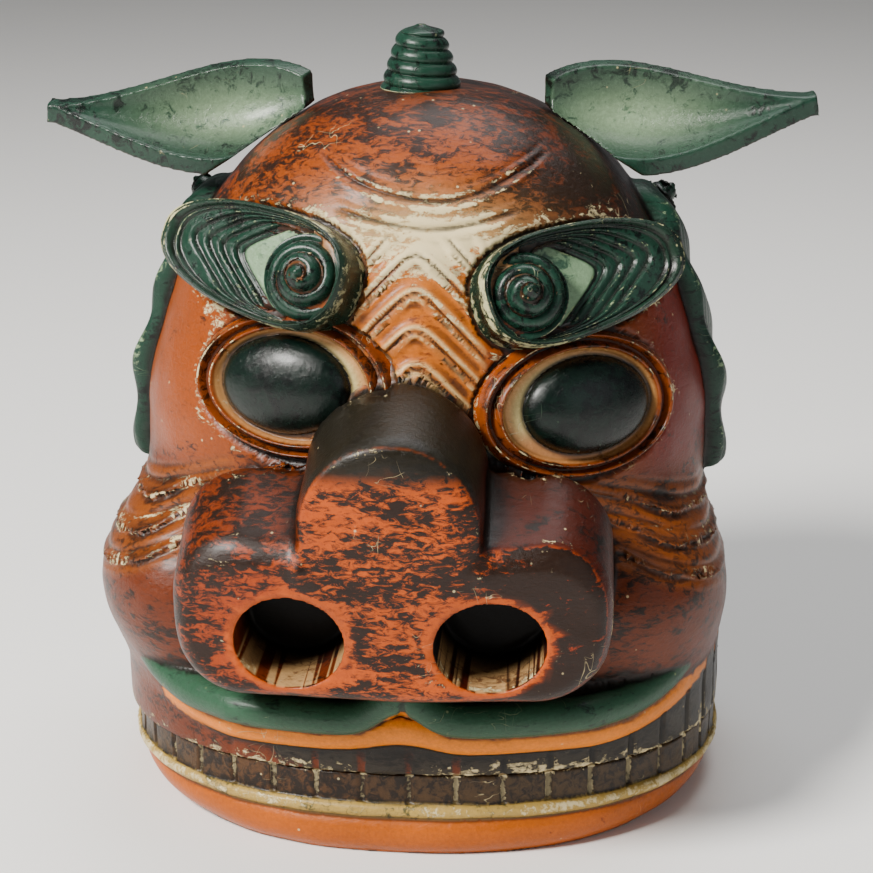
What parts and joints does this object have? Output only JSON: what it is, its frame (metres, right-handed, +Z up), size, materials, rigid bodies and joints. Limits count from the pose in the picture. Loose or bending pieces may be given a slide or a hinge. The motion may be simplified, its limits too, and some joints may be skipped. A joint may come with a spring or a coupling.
{
  "type": "lion dance mask",
  "caption": "Carved and lacquered wooden lion dance mask with bulging brows, broad three-lobed snout, spread ears, ringed crown knob and a hinged lower jaw",
  "frame": {"origin": "middle of the footprint, on the surface that the lower jaw's flat underside rests on", "axes": "+Z up, the face looks along -Y, +X is to the right of someone who looks at the face"},
  "size_m": [0.3759, 0.27, 0.3726],
  "materials": {
    "head": "worn red-orange and dark lacquer",
    "lower_jaw": "worn orange-red lacquer with dark teeth",
    "jaw_axle": "bare wood",
    "crown_knob": "dark green lacquer",
    "ears": "dark green lacquer"
  },
  "bodies": {
    "head": {"head": "head", "jaw_axle": "jaw_axle", "crown_knob": "crown_knob", "ear_left": "ears", "ear_right": "ears"},
    "jaw": {"lower_jaw": "lower_jaw"}
  },
  "joints": [
    {"name": "jaw_hinge", "type": "hinge", "parent": "head", "child": "jaw", "pos_m": [0, 0.088, 0.07], "axis": [1, 0, 0], "range_deg": [0, 25]}
  ]
}
